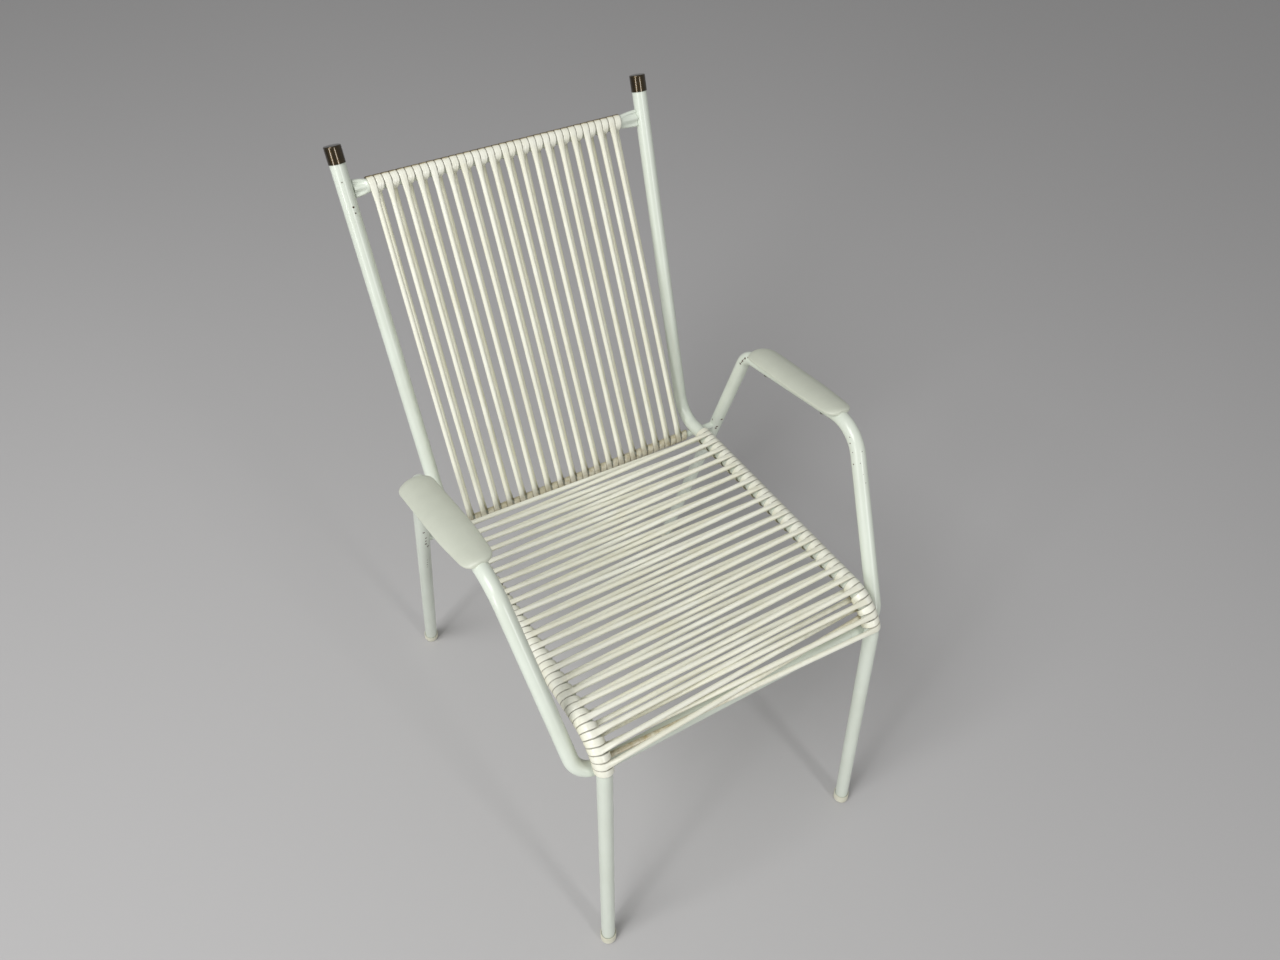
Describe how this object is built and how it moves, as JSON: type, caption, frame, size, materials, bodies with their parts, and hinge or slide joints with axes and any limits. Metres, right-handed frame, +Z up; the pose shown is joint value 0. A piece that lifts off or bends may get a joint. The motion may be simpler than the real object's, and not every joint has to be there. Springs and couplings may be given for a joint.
{
  "type": "cord-strung stacking armchair",
  "caption": "Rigid garden armchair of bent, welded steel tube, with seat and back strung in wound PVC cord, moulded arm pads, capped posts and plastic feet.",
  "frame": {"origin": "floor level, midway between the two sides and midway between the foremost and rearmost points", "axes": "+Z up, +X to the right seen from the front, -Y towards the front"},
  "size_m": [0.542, 0.7114, 0.8518],
  "materials": {
    "painted_steel": "satin white paint with a cool tint, chipped to rust in places",
    "brass": "dark tarnished brass, half polished",
    "ferrule_plastic": "matte cream plastic",
    "pad_plastic": "satin grey-green moulded plastic",
    "screw_steel": "dull zinc-plated steel",
    "cord_pvc": "satin ivory PVC"
  },
  "bodies": {
    "root": {"left_side_tube": "painted_steel", "right_side_tube": "painted_steel", "left_arm_tube": "painted_steel", "right_arm_tube": "painted_steel", "front_cross_rail": "painted_steel", "rear_cross_rail": "painted_steel", "top_back_rail": "painted_steel", "left_post_cap": "brass", "right_post_cap": "brass", "left_front_foot": "ferrule_plastic", "right_front_foot": "ferrule_plastic", "left_rear_foot": "ferrule_plastic", "right_rear_foot": "ferrule_plastic", "left_arm_pad": "pad_plastic", "right_arm_pad": "pad_plastic", "left_pad_front_screw": "screw_steel", "left_pad_rear_screw": "screw_steel", "right_pad_front_screw": "screw_steel", "right_pad_rear_screw": "screw_steel", "seat_cord": "cord_pvc", "back_cord": "cord_pvc"}
  },
  "joints": []
}
